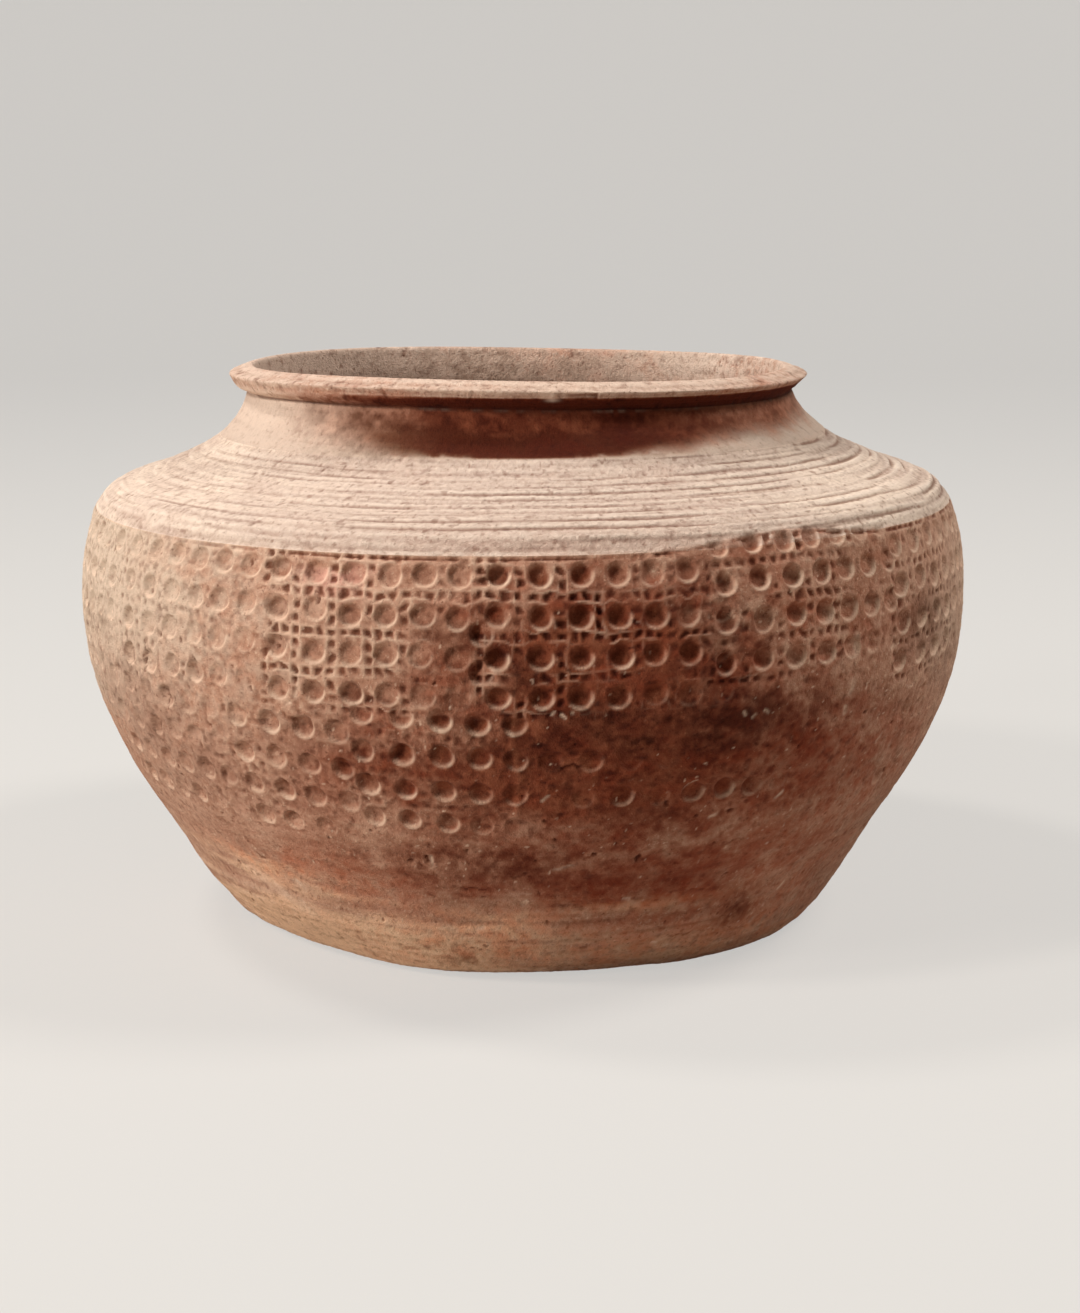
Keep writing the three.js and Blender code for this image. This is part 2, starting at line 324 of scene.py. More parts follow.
def blow(relief, pits, edges, along, turn, strike, seed):
    """One blow: rings go into pits, painted rim highlights and pale ridges into edges, the rest into relief.

    The old marks under it are partly flattened. Each ring is a bowl, 1 - (r/R)^4, deeper at its upper
    left, and the paddle was drawn off to the lower right, which left a raised drawn edge there; that edge
    is also painted pale as a highlight. Cells are products of two boxes that fade to the right, with fine
    broken ridges beside their lines. All of it scales with the blow's strength, which falls off to the
    right and most at the lower right corner, and with what wear has left.
    """
    first, top, columns, rows, strength, rise, wear, squares = strike
    rng = np.random.default_rng(seed)
    xs = ring_columns[:columns]
    ys = np.arange(rows) * ROW_GAP
    wide, tall = xs[-1] + 2 * PADDLE_EDGE, ys[-1] + 2 * PADDLE_EDGE
    across = wrapped(turn[0] - first) * MM_PER_DEGREE
    down = top - along[:, 0]
    margin = PADDLE_EDGE + 4
    some_columns = np.flatnonzero((across > -margin) & (across < xs[-1] + margin))
    some_rows = np.flatnonzero((down > -margin) & (down < ys[-1] + margin))
    if not len(some_columns) or not len(some_rows):
        return
    patch = np.ix_(some_rows, some_columns)
    x = across[some_columns][None, :]
    y = down[some_rows][:, None] + rise * x
    s, t = along[some_rows], turn[:, some_columns]
    x = x + PRINT_WARP * (grain(seed + 5, 9, 9, s, t) - 0.5)
    y = y + PRINT_WARP * (grain(seed + 6, 9, 9, s, t) - 0.5)

    ragged = 3 * (grain(seed + 1, 7, 7, s, t) - 0.5)
    over = np.minimum(np.minimum(x, xs[-1] - x), np.minimum(y, ys[-1] - y)) + PADDLE_EDGE
    print_area = smooth(over + ragged, -0.8, 2.4)
    right, low = (x + PADDLE_EDGE) / wide, (y + PADDLE_EDGE) / tall
    press = strength * (1.15 - 0.3 * right) * (1 - 0.75 * smooth(right + low, 1.3, 1.85))
    press *= 0.72 + 0.5 * grain(seed + 2, 14, 12, s, t)
    press *= 1 - wear * smooth(grain(seed + 4, 8, 10, s, t), 0.3, 0.72)

    rings, drawn_edge_and_highlight = np.zeros_like(press), np.zeros_like(press)
    for cx in xs:
        for cy in ys:
            depth, radius = rng.uniform(0.8, 1.1), RING_RADIUS * rng.uniform(0.95, 1.03)
            ox, oy = rng.normal(0, 0.25, 2)
            dx, dy = x - cx - ox, y - cy - oy
            away, lean = np.hypot(dx, dy), (0.45 * dx + 0.89 * dy) / radius
            bowl = depth * (1 - RING_LEAN * lean) * (1 - np.minimum(away / radius, 1) ** 4)
            rings = np.maximum(rings, bowl)
            # drawn edge: raised at each ring's lower right rim, and painted there as a highlight
            drawn_edge_and_highlight = np.maximum(drawn_edge_and_highlight, smooth(lean, -0.1, 0.75) * bump(away - EDGE_AT * radius, EDGE_WIDTH))
    drawn_edge_and_highlight *= 0.35 + 0.85 * grain(seed + 10, 3.5, 3.5, s, t)
    fences = np.r_[xs[0] - OUTER_CELLS, (xs[1:] + xs[:-1]) / 2, xs[-1] + OUTER_CELLS]
    lines = np.r_[ys[0] - OUTER_CELLS, ys[1:] - ROW_GAP / 2, ys[-1] + ROW_GAP / 2]
    half = CELL / 2
    u = x + CELL_WARP * (grain(seed + 7, 2.8, 2.8, s, t) - 0.5)
    v = y + CELL_WARP * (grain(seed + 8, 2.8, 2.8, s, t) - 0.5)
    in_rows = combed(v, lines, half, CELL_EDGE) * combed(u, thirds(fences), half, CELL_EDGE)
    in_columns = combed(u, fences, half, CELL_EDGE) * combed(v, thirds(lines), half, CELL_EDGE)
    faint = smooth(grain(seed + 3, 6, 10, s, t), 0.15, 0.6) * squares
    faint *= 1 - 0.6 * smooth(right, 0.45, 0.95)
    faint *= 0.4 + 0.8 * grain(seed + 9, 2.8, 2.8, s, t)
    cells = np.maximum(in_rows, in_columns) * faint * (1 - np.minimum(rings, 1))
    beside = half + 0.5
    net = combed(v, np.r_[lines - beside, lines + beside], NET_WIDTH / 2, 0.3)
    net = np.maximum(net, 0.6 * combed(u, np.r_[fences - beside, fences + beside], NET_WIDTH / 2, 0.3))
    net = net * (1 - np.minimum(1, 3 * rings)) * squares * np.minimum(1.2 * faint, 1)
    net *= smooth(grain(seed + 11, 2.6, 4.5, s, t), 0.25, 0.7)
    kept = 1 - OLD_LOST * print_area * min(1, strength)
    pits[patch] = pits[patch] * kept - RING_DEPTH * rings * press * print_area
    edges[patch] = edges[patch] * kept + drawn_edge_and_highlight * np.minimum(press, 1.2) ** 1.5 * print_area
    edges[patch] = np.maximum(edges[patch], 0.5 * net * press * print_area)
    sunk = CELL_DEPTH * cells - 0.25 * net - 0.25 * drawn_edge_and_highlight + 0.25
    relief[patch] = relief[patch] * kept - sunk * press * print_area


def stamped(along, turn):
    """The marks of every blow: the worn tier round the belly, then the back's top tier, then the front."""
    relief, pits, edges = np.zeros((3, len(along), turn.shape[1]))
    rng = np.random.default_rng(11)
    for i in range(LOW_BLOWS):
        turn_at, top = 56 + i * 24 + rng.uniform(-3, 3), 103 + rng.uniform(-3, 3)
        size = int(rng.integers(5, 8))
        strike = (turn_at, top, size, 4, rng.uniform(0.4, 0.7), rng.uniform(-0.06, 0.04), 0.75, 0.2)
        blow(relief, pits, edges, along, turn, strike, 100 + 10 * i)
    for i in range(BACK_BLOWS):
        top = BACK_ALONG + BACK_SWAY * math.sin(BACK_SWAY_PHASE * i)
        rise = BACK_RISE * math.sin(BACK_RISE_PHASE * i)
        strike = (BACK_START + i * BACK_STEP, top, 7, 4, rng.uniform(0.7, 1.0), rise, 0.35, 0.9)
        blow(relief, pits, edges, along, turn, strike, 300 + 10 * i)
    for i, strike in enumerate(BLOWS):
        blow(relief, pits, edges, along, turn, strike, 500 + 10 * i)
    return relief, pits, edges


# Crests that the turning left round the shoulder, by their distance up the wall
CRESTS = (140.0, 147.0, 156.2, 160.4, 164.8, 169.6, 174.6, 178.6, 182.4, 186.8, 190.6, 194.4, 198.6, 203.0)


def turned_lines(along, turn):
    """The shoulder's turned lines: -u^2.5 for each share u of the way up from one crest to the next.

    Each drops back to nothing just under the upper crest. The crests wander, the depth varies round the
    jar and grows towards the right, and finer lines run between them.
    """
    wander = 2.2 * (grain(50, 9, 60, along, turn) - 0.5) + 0.9 * (grain(51, 4, 18, along, turn) - 0.5)
    place = np.interp(along + wander, CRESTS, np.arange(len(CRESTS)))
    share = place - np.floor(place)
    trough = share**2.5 * (1 - smooth(share, 0.84, 1))
    right = (np.sin(np.radians(turn)) + 1) / 2
    depth = (0.15 + 1.1 * smooth(grain(52, 4.2, 24, along, turn), 0.25, 0.95)) * (0.25 + 0.75 * right)
    fine = 0.42 * grain(41, 1.5, 90, along, turn) + 0.28 * grain(42, 0.9, 20, along, turn)
    return -depth * trough - fine * (0.6 + 0.4 * right)


# Small damage seen in the photograph: turn, along, length in mm, slant in degrees, depth, width
CUTS = [
    (-44.5, 33, 6, -12, 0.8, 0.7),
    (-40.2, 43, 5, -25, 0.6, 0.8),
    (-12.7, 52.6, 4, 80, 0.7, 1.2),
    (14.9, 52.9, 3, 40, 0.7, 1.4),
    (5.2, 88.4, 8, 0, 0.5, 1.0),
    (-50.5, 111, 13, 80, 0.7, 0.5),
    (-54.5, 112, 15, 97, 0.6, 0.5),
    (-47, 99, 8, 105, 0.6, 0.5),
]
CUT_WAVER = 0.5  # amplitude of a cut's wavering line
CHIP_WAVER = 0.12

# Chips and flecks that bare a paler clay, in the same terms
CHIPS = [
    (44.5, 191, 8, 118, 0.25, 0.6),
    (49, 191, 9, 70, 0.25, 0.7),
    (51.5, 187, 8, 105, 0.25, 0.6),
    (5.2, 50, 9, 15, 0.35, 0.8),
    (0.1, 34, 4, 30, 0.3, 1.6),
    (14.7, 34.3, 4, -10, 0.3, 1.1),
    (21.7, 11.4, 4, 0, 0.3, 1.2),
    (40.3, 13.7, 4, 70, 0.3, 1.4),
    (43.7, 27.7, 6, 60, 0.35, 1.2),
    (-12, 52, 6, 85, 0.35, 0.9),
    (-34.9, 33.4, 7, -50, 0.25, 2.0),
    (-36.4, 25.3, 5, -30, 0.2, 1.6),
    (-6.8, 22.3, 6, 20, 0.3, 1.3),
    (41.5, 118, 9, 86, 0.25, 1.4),
    (41, 105, 7, 76, 0.25, 1.5),
    (40.3, 98, 4, 90, 0.25, 1.1),
    (25.4, 101.8, 2.5, -60, 0.25, 0.8),
    (26.7, 100.7, 2.6, 40, 0.25, 0.7),
    (28.3, 101.7, 3, -25, 0.25, 0.8),
    (49.2, 84.4, 5, 60, 0.25, 0.8),
    (19.9, 79.5, 6, 35, 0.25, 0.8),
    (32.9, 71.7, 5, 40, 0.25, 0.8),
    (23.8, 67.2, 4, 10, 0.25, 0.8),
    (2.5, 77.5, 4, 40, 0.25, 0.7),
    (3.2, 105.2, 2, 50, 0.25, 0.7),
    (4.3, 104.2, 2.6, -30, 0.25, 0.7),
    (5.3, 105.4, 1.6, 10, 0.25, 0.7),
    (48.5, 114.7, 4, 20, 0.25, 1.2),
    (62.7, 107.1, 4, 40, 0.25, 1.2),
    (-26.1, 108, 4, 80, 0.2, 1.2),
    (-27.2, 104.6, 3, 20, 0.2, 1.0),
    (-34.9, 148.7, 5, 5, 0.2, 1.0),
]


def scratch(relief, along, turn, mark, seed, waver=CUT_WAVER):
    """A short groove: a bell across its line, eased out at its ends, with a line that wavers."""
    at_turn, at_along, length, slant, depth, width = mark
    x = wrapped(turn[0] - at_turn) * MM_PER_DEGREE
    y = along[:, 0] - at_along
    columns, rows = np.flatnonzero(np.abs(x) < length), np.flatnonzero(np.abs(y) < length)
    if not len(columns) or not len(rows):
        return
    patch = np.ix_(rows, columns)
    x, y = x[columns][None, :], y[rows][:, None]
    c, s = math.cos(math.radians(slant)), math.sin(math.radians(slant))
    run, off = x * c + y * s, y * c - x * s
    off = off + waver * (np.sin(run * 1.1 + seed) + 0.5 * np.sin(run * 2.7 + 2 * seed))
    ends = 1 - smooth(np.abs(run), length * 0.3, length * 0.5)
    relief[patch] -= depth * bump(off, width / 2) * ends


def scattered(relief, along, turn, count, seed, lows, highs):
    """Many small marks at seeded random places. lows and highs bound along, length, slant, depth, width."""
    rng = np.random.default_rng(seed)
    for i in range(count):
        values = rng.uniform(lows, highs)
        scratch(relief, along, turn, (rng.uniform(-180, 180), *values), seed + i)


def softened(field, reach):
    """The field blurred by a bell of that reach in grid steps, round the jar and up it."""
    rows, columns = field.shape
    pad = int(3 * reach)
    tall = np.pad(field, ((pad, pad), (0, 0)), mode="edge")
    up = np.fft.fftfreq(tall.shape[0])[:, None]
    across = np.fft.rfftfreq(columns)[None, :]
    keep = np.exp(-2 * (math.pi * reach) ** 2 * (up**2 + across**2))
    return np.fft.irfft2(np.fft.rfft2(tall) * keep, s=tall.shape)[pad : pad + rows]


def mottled(seed, size, along, turn, stretch=1):
    """Patches from 0 to 1: three octaves of grain, from a size in mm down to a quarter of it."""
    field = 0
    for i, (share, weight) in enumerate(((1, 0.5), (0.5, 0.3), (0.25, 0.2))):
        field = field + weight * grain(seed + i, size * share, size * share * stretch, along, turn)
    return smooth(field, 0.24, 0.76)


MOUTH_SAND = ((125, LIP_SEAM + 20), (24, 8))  # a sandy patch inside the mouth, on the right


def stamps_rise(turn):
    """How many mm higher the stamps reach right of the middle: a bell, 4.5 at turn 32."""
    return 4.5 * bump(wrapped(turn - 32), 11)


def outside_relief(along, turn):
    """The marks on the outside, in mm along its normal, and apart from them the rings and their edges.

    It is the sum of the hand's unevenness, the stamps up to where the shoulder was turned over them, the
    turned lines, the wiped neck, the scraped band above the foot, the joint line under the lip, the lip's
    wear, a fine grain, and the cuts, pores and chips. Nothing rises above the outline.
    """

    def noise(seed, tall, wide):
        return grain(seed, tall, wide, along, turn)

    top_edge = BELLY_TOP + 1.2 * (noise(21, 400, 40) - 0.5) + stamps_rise(turn)
    belly = 1 - smooth(along - top_edge, -0.8, 0.8)
    low_edge = 59 + 12 * (noise(22, 400, 60) - 0.5)
    scraped = 1 - smooth(along - low_edge, -9, 5)
    shoulder = band(along, BELLY_TOP, SHOULDER_TOP, 0.6) * (1 - belly)
    neck = band(along, SHOULDER_TOP, LIP_SEAM, 0.8)
    lip = smooth(along, LIP_SEAM, LIP_SEAM + 1)

    relief = -0.5 * noise(23, 26, 44) * (1 - lip)
    stamps, pits, edges = stamped(along, turn)
    left_over = (0.8 + 0.3 * noise(24, 16, 24)) * belly * (1 - scraped)
    relief, pits, edges = relief + stamps * left_over, pits * left_over, edges * left_over
    relief -= 0.2 * (1 - belly) * (1 - lip)
    broken = smooth(noise(124, 400, 3.4), 0.25, 0.7)
    broken = broken * (1 - 0.8 * bump(wrapped(turn + 62), 26))
    relief -= 0.6 * bump(along - top_edge + 0.9, 0.5) * broken
    relief += turned_lines(along, turn) * shoulder
    wiped = -0.2 * noise(25, 2.4, 120) - 0.12 * noise(26, 1.0, 50)
    relief += wiped * neck
    drags = -0.3 * noise(27, 4.5, 150) - 0.16 * noise(28, 1.5, 60)
    lumps = -0.3 * mottled(29, 12, along, turn, 2)
    relief += (drags + lumps) * scraped
    rough = blob(along, turn, (-30, 90), (28, 26)) + 0.5 * blob(along, turn, (26, 88), (28, 26))
    rough = rough + 0.4 * mottled(32, 24, along, turn)
    pocks = 0.5 * smooth(noise(30, 2.4, 2.8), 0.6, 0.95)
    pocks = pocks + 0.25 * noise(31, 1.5, 1.5)
    dents = 0.5 * mottled(120, 7, along, turn) + 0.35 * mottled(123, 9, along, turn, 3)
    relief -= (pocks + dents) * belly * (0.15 + 0.5 * np.minimum(rough, 1)) * (1 - 0.6 * scraped)
    relief = relief - 0.1 * noise(33, 0.9, 0.9) - 0.08 * noise(34, 1.9, 1.9)
    relief -= 0.16 * shoulder * noise(126, 1.2, 1.7)
    ridge = wrapped(turn + 1) + 1.4 * (noise(39, 5, 400) - 0.5)
    relief += 0.4 * bump(ridge, 0.5) * band(along, 70, 106, 4)

    leftward = -wrapped(turn) - 66
    joint = LIP_SEAM + 0.8 * (noise(35, 400, 60) - 0.4)
    joint = joint + 1.2 * smooth(leftward, -1, 3) * (1 - smooth(leftward, 34, 90))
    relief = relief - 0.5 * bump(along - joint, 0.42) - 0.16 * smooth(joint - along, -0.2, 0.6) * neck
    edge = band(along, LIP_SEAM + 4.5, LIP_SEAM + 12, 1.2)
    uneven = 0.5 * noise(36, 400, 16) + 0.4 * noise(37, 5, 4)
    relief -= uneven * edge
    notch = smooth(wrapped(turn - 8), -0.5, 4) * (1 - smooth(wrapped(turn - 14.2), -0.1, 0.3))
    relief -= 0.7 * notch * bump(along - NOTCH_ALONG, 1.2)
    relief += 0.55 * bump(wrapped(turn - 6.1), 0.5) * bump(along - NOTCH_ALONG, 0.7)
    sandy = blob(along, turn, *MOUTH_SAND)
    relief -= sandy * 0.4 * smooth(noise(38, 1.2, 1.3), 0.5, 0.95)

    scattered(relief, along, turn, 260, 900, (8, 0.8, 0, 0.2, 0.8), (148, 2.4, 180, 0.7, 1.6))
    scattered(relief, along, turn, 90, 2000, (4, 4, -8, 0.1, 0.5), (58, 16, 8, 0.3, 0.9))
    scattered(relief, along, turn, 30, 3000, (150, 0.8, 0, 0.2, 0.7), (214, 2, 180, 0.35, 1.1))
    for i, mark in enumerate(CUTS):
        scratch(relief, along, turn, mark, i)
    for i, mark in enumerate(CHIPS):
        scratch(relief, along, turn, mark, i, CHIP_WAVER)
    return np.minimum(relief, 0), pits, edges


def patchy(share, patches, much=2.6):
    """A share from 0 to 1 broken up into patches, most where it is near a half."""
    return np.clip(share + share * (1 - share) * much * (patches - 0.5) * 2, 0, 1)


# Patches of wear, dust and firing colour seen in the photograph, those that darken and redden the front
# also painted shade: share, then turn and along of the middle, then reach in degrees and in mm
PATCHES = {
    "dust_and_light": [(0.6, 80, 122, 20, 36), (0.3, 60, 112, 8, 14)],
    "rubbed_and_lit": [(0.5, -42, 34, 16, 9), (0.4, -6, 24, 9, 7), (0.35, 17, 31, 16, 3.5), (0.35, 28, 8, 24, 8)],
    "dark": [
        (1.15, 9, 124, 18, 25),
        (1.1, 9, 82, 27, 26),
        (0.6, 3, 44, 20, 13),
        (0.45, 28, 38, 18, 14),
        (0.35, 46, 98, 16, 30),
        (0.18, -24, 86, 26, 20),
        (0.3, -52, 92, 18, 22),
    ],
    "soot_and_shade": [
        (0.35, -26, 200, 14, 5),
        (0.5, 20, 101, 14, 8),
        (0.4, -4, 51, 17, 8),
        (0.45, 56, 121, 7, 9),
        (0.25, 66, 104, 9, 12),
        (0.5, -66, 118, 5, 4),
        (0.6, 35, 22, 3.5, 7),
        (0.7, -9.8, 5, 3, 3),
    ],
    "ruddy": [
        (0.35, 34, 128, 14, 16),
        (0.5, 34, 72, 24, 24),
        (0.35, -42, 42, 14, 7),
        (0.5, 38, 30, 16, 12),
        (0.25, 8, 140, 9, 8),
        (0.45, 20, 44, 26, 13),
        (0.4, 30, 12, 22, 10),
        (0.3, -6, 12, 14, 10),
        (0.4, -26, 42, 10, 8),
    ],
}
SMOKE_AND_SHADOW_LINE = 198.5  # along, where the neck's smoke and the lip's painted shadow begin at the front
SMOKE_AND_SHADOW_TURN = -2  # where it reaches lowest


def patches_of(kind, along, turn):
    """The sum of a kind's soft patches."""
    rows = PATCHES[kind]
    return sum(share * blob(along, turn, (at, up), (wide, tall)) for share, at, up, wide, tall in rows)


def neck_smoke_and_lip_shadow(along, turn, speck, grit):
    """How smoked each place is, with the lip's painted shadow, 0 to 1, and the ragged line where both begin.

    The line lies lowest at the front and rises to both sides, where its edge is softer.
    """
    degrees = wrapped(turn)
    reach = 28 + 14 * smooth(degrees, -2, 20)
    line = SMOKE_AND_SHADOW_LINE + 8 * (1 - bump(degrees - SMOKE_AND_SHADOW_TURN, reach)) + smooth(degrees, 26, 45)
    line = line + 2 * (grain(75, 400, 16, along, turn) - 0.5) + 2.4 * (speck - 0.5) + 1.6 * (grit - 0.5)
    aside = smooth(np.abs(degrees - SMOKE_AND_SHADOW_TURN), 12, 34)
    soft = 2.4 + (4.8 - 2 * smooth(degrees, 0, 10)) * aside
    sides = smooth(degrees, -58, -16) * (1 - smooth(degrees, 60, 104))
    return smooth(along - line, -soft, soft) * sides, line


def masks(along, turn, relief, pits, edges):
    """Where dirt, wear, firing colour, painted light and shade lie, 0 to 1, from place, relief and noise.

    Soil gathers where the relief is lower than its own blurred self, with painted shade in those crevices,
    and wear shows where it is higher, with painted highlights on those crests. The upper left of each ring,
    whose share from 0 to 1 is in pits, is painted shadow in dark and soot, and the drawn lower right edge of
    each ring is a painted highlight in wear and chip. Dust lies on what faces up and on the left, where it
    is also painted light, as it is inside the mouth at the back left and on the neck beside the lip's
    shadow;
    it is thinner on the lip's lower edge, as painted shade. Rubbed is the sandy band by the foot, palest at
    its left as painted light, and parts of the shoulder. Dark is where the fire reddened and closed the
    clay, ruddy where it only reddened it, and soot clouds the neck and the belly; they also hold the lip's
    painted shadow on the neck, painted shade under the lip, and the front's darker, redder painted shade.
    Chip bares paler clay, and a painted highlight under the lip's joint. All of them close on themselves at
    the back.
    """
    # soil, and painted shade: darker where the relief lies below its own blurred self
    crevice = softened(relief, 2) - relief
    hollow = softened(relief, 6) - relief
    soil_and_shade = np.clip(crevice / 0.3, 0, 1) + 0.2 * np.clip(hollow / 0.9, 0, 1)
    # wear, and painted highlights: paler on raised crests and on the rings' drawn edges
    worn_and_highlight = 0.7 * np.clip(-crevice / 0.2, 0, 1) + 0.4 * np.clip(-hollow / 0.5, 0, 1) + 1.3 * edges
    narrow = smooth(along, BELLY_TOP, SHOULDER_TOP)

    def mottles(seed, size, stretch):
        low, high = (mottled(seed, size, along, turn, stretch * k) for k in (1, BELLY_RADIUS / RIM_RADIUS))
        return low + (high - low) * narrow

    cloud = mottles(61, 30, 1.6)
    speck = mottles(64, 6, 1.4)
    grit = mottles(67, 2.4, 1)
    patches = 0.35 * cloud + 0.3 * speck + 0.35 * grit
    degrees = wrapped(turn)

    shoulder_edge = BELLY_TOP + stamps_rise(turn)
    shoulder = band(along, shoulder_edge + 0.1, SHOULDER_TOP + 0.8, 0.7)
    neck = band(along, SHOULDER_TOP + 0.8, LIP_SEAM, 0.8)
    under = band(along, LIP_SEAM, LIP_SEAM + 4.3, 0.4)
    lip = smooth(along, LIP_SEAM + 4, LIP_SEAM + 4.8)
    belly = 1 - smooth(along, shoulder_edge - 0.6, shoulder_edge + 0.8)
    back = smooth(np.abs(degrees), 85, 165)
    left = smooth(-degrees, 6, 64) * (1 - back)
    high = smooth(along, 55, 128)

    # The neck is smoke-dark above its line, with the lip's shadow painted there too, and dusty below it and
    # aside
    smoke_and_lip_shadow, line = neck_smoke_and_lip_shadow(along, turn, speck, grit)
    # painted shade: the lip's lower edge keeps less dust, so it shows browner
    shaded_lip_edge = band(along, LIP_SEAM + 3, LIP_SEAM + 6, 0.7)
    on_lip = 0.6 + 0.2 * cloud + 0.25 * speck - 0.7 * shaded_lip_edge * speck
    mouth = band(along, LIP_SEAM + 12, LIP_END + 9, 2)
    # painted light: paler dust inside the mouth at the back left, where the wall lies in shade
    on_lip = on_lip + 0.5 * mouth * bump(wrapped(turn + 125), 35)
    dust_and_light = shoulder * 0.92 + lip * on_lip + (neck + under) * (1 - smoke_and_lip_shadow)
    # dust, and painted light: the belly is paler on its upper left
    on_belly = left * (0.08 + 0.92 * high) + patches_of("dust_and_light", along, turn) + 0.4 * back * cloud
    dust_and_light = patchy(np.clip(dust_and_light + belly * on_belly, 0, 1), patches, 2.6 - 1.8 * neck)
    streaks = 0.5 * mottled(70, 3, along, turn, 9) + 0.5 * patches
    # rubbed clay, and painted light: the band by the foot is palest on the left
    rubbed_and_lit = 1.7 * band(along, -8, 20, 9) * bump(degrees + 36, 32) + 0.3 * back * band(along, -8, 26, 8)
    rubbed_and_lit += patches_of("rubbed_and_lit", along, turn)
    rubbed_and_lit += shoulder * (0.8 * bump(degrees - 58, 26) + 0.7 * bump(degrees + 72, 34))
    rubbed_and_lit = patchy(np.clip(rubbed_and_lit, 0, 1), streaks)

    # The closed, dark clay of the front with painted shadow in its rings, and the worn tiers left of it
    # painted shadow: the upper left of each ring, where its pit leans deepest, darkens dark and soot
    shade = smooth(pits, 0.55, 1.05)
    dark = patches_of("dark", along, turn) + 0.35 * back * cloud + 0.45 * shade * bump(degrees, 34)
    # painted shadow of the lip on the neck, darkest at the front, and painted shade under the lip
    darkest = (0.5 + 0.5 * smooth(degrees, -32, -4)) * (1 - 0.3 * smooth(degrees, 15, 45))
    dark = dark * belly + 1.15 * smoke_and_lip_shadow * (neck * darkest + under)
    dark = patchy(np.clip(dark, 0, 1), 0.45 * cloud + 0.35 * speck + 0.2 * grit, 1.7)
    front = blob(along, turn, (10, 104), (26, 38))
    # soot, with the lip's painted shadow on the neck and painted shade under the lip
    soot_and_shade = smoke_and_lip_shadow * neck * (0.65 + 0.9 * (1 - smooth(along - line, 5, 13)) * bump(degrees - SMOKE_AND_SHADOW_TURN, 30))
    soot_and_shade *= 1 - 0.45 * smooth(degrees, 15, 45)
    soot_and_shade = soot_and_shade + smoke_and_lip_shadow * under + patches_of("soot_and_shade", along, turn)
    soot_and_shade += 0.3 * mouth * bump(wrapped(turn - 180), 35)
    # soot, and painted shade: the front of the belly is darker
    soot_and_shade += 0.55 * front * smooth(mottled(77, 8, along, turn, 2.2), 0.45, 0.95)
    soot_and_shade += 0.35 * shade * front
    soot_and_shade += 0.4 * front * smooth(grain(79, 1.2, 1.5, along, turn), 0.5, 0.9)
    soot_and_shade = patchy(np.clip(soot_and_shade + 0.35 * belly * back * cloud, 0, 1), 0.5 * speck + 0.5 * grit, 2)
    # ruddy clay, and painted shade: redder on the front, on the neck under the lip's shadow and under the
    # lip
    ruddy = patches_of("ruddy", along, turn) + 0.4 * front * mottled(81, 7, along, turn, 1.6)
    ruddy += smoke_and_lip_shadow * (0.35 * neck * bump(degrees - 10, 22) + under)
    ruddy = patchy(np.clip(ruddy + 0.2 * belly * cloud * (1 - left), 0, 1), 0.6 * speck + 0.4 * grit, 2)
    smear = blob(along, turn, (-21.5, 143), (4.2, 5)) * smooth(speck, 0.1, 0.6)

    chips = np.zeros_like(relief)
    for i, mark in enumerate(CHIPS):
        scratch(chips, along, turn, (*mark[:4], 1, 1.3 * mark[5]), i, CHIP_WAVER)
    flecks = grain(73, 1.1, 1.3, along, turn) * grain(74, 1.3, 1.1, along, turn)
    flecks = 0.8 * smooth(flecks, 0.7, 0.85) * belly
    chip_and_highlight = -chips * (0.3 + 0.8 * grit) + flecks
    # painted highlight: a pale line just under the lip's joint, where the neck's top edge would catch light
    seam_highlight = bump(along - LIP_SEAM + 0.7, 0.4) * smooth(degrees, -40, 0) * (1 - back)
    chip_and_highlight += 0.4 * grit * speck * seam_highlight
    # painted highlight on the rings' drawn edges, weaker on the left and stronger on the right
    ring_highlight_gain = 1 - 0.45 * left + 0.3 * bump(degrees - 52, 24)
    chip_and_highlight += 1.1 * edges * belly * (0.5 + 0.5 * grit) * ring_highlight_gain
    chip_and_highlight += 0.5 * band(along, -3, 0.7, 0.4) * smooth(degrees, -12, -2) * grit * (1 - back)
    chip_and_highlight += 0.5 * blob(along, turn, *MOUTH_SAND) * grit
    chip_and_highlight += 0.9 * blob(along, turn, (6.1, LIP_SEAM + 4), (1.1, 0.9))
    scuff = bump(degrees + 41, 6) * bump(along - 29 + 1.4 * (degrees + 41), 3.5)
    chip_and_highlight += 0.8 * scuff * (0.3 + 0.7 * grit)
    pores = grain(76, 1.2, 1.8, along, turn) * grain(78, 1.8, 1.2, along, turn)
    soil_and_shade += 0.7 * shoulder * smooth(pores, 0.5, 0.72)
    soil_and_shade += 0.35 * band(along, -6, 20, 5) * smooth(streaks, 0.5, 0.85) * (1 - back)
    soil_and_shade *= 1 - np.clip(chip_and_highlight, 0, 1)
    fields = (soil_and_shade, worn_and_highlight, dust_and_light, rubbed_and_lit, dark, soot_and_shade, ruddy, smear, chip_and_highlight)
    return {name: np.clip(field, 0, 1) for name, field in zip(MASKS, fields)}


MASKS = ("soil_and_shade", "worn_and_highlight", "dust_and_light", "rubbed_and_lit", "dark", "soot_and_shade", "ruddy", "smear", "chip_and_highlight")


def turns(columns):
    return np.arange(columns)[None, :] * 360 / columns


def outside_sheet(along):
    """The whole outside as points and masks, a row for each distance and a column for each turn."""
    turn = turns(FINE)
    along = along[:, None]
    relief, pits, edges = outside_relief(along, turn)
    depth = relief + pits
    place = [np.interp(along, outline_along, outline[:, i]) for i in (0, 1)]
    out = [np.interp(along, outline_along, outline_normal[:, i]) for i in (0, 1)]
    points = shaped_by_hand(place[0] + out[0] * depth, place[1] + out[1] * depth, turn)
    return points, masks(along, turn, relief, -pits / RING_DEPTH, edges)


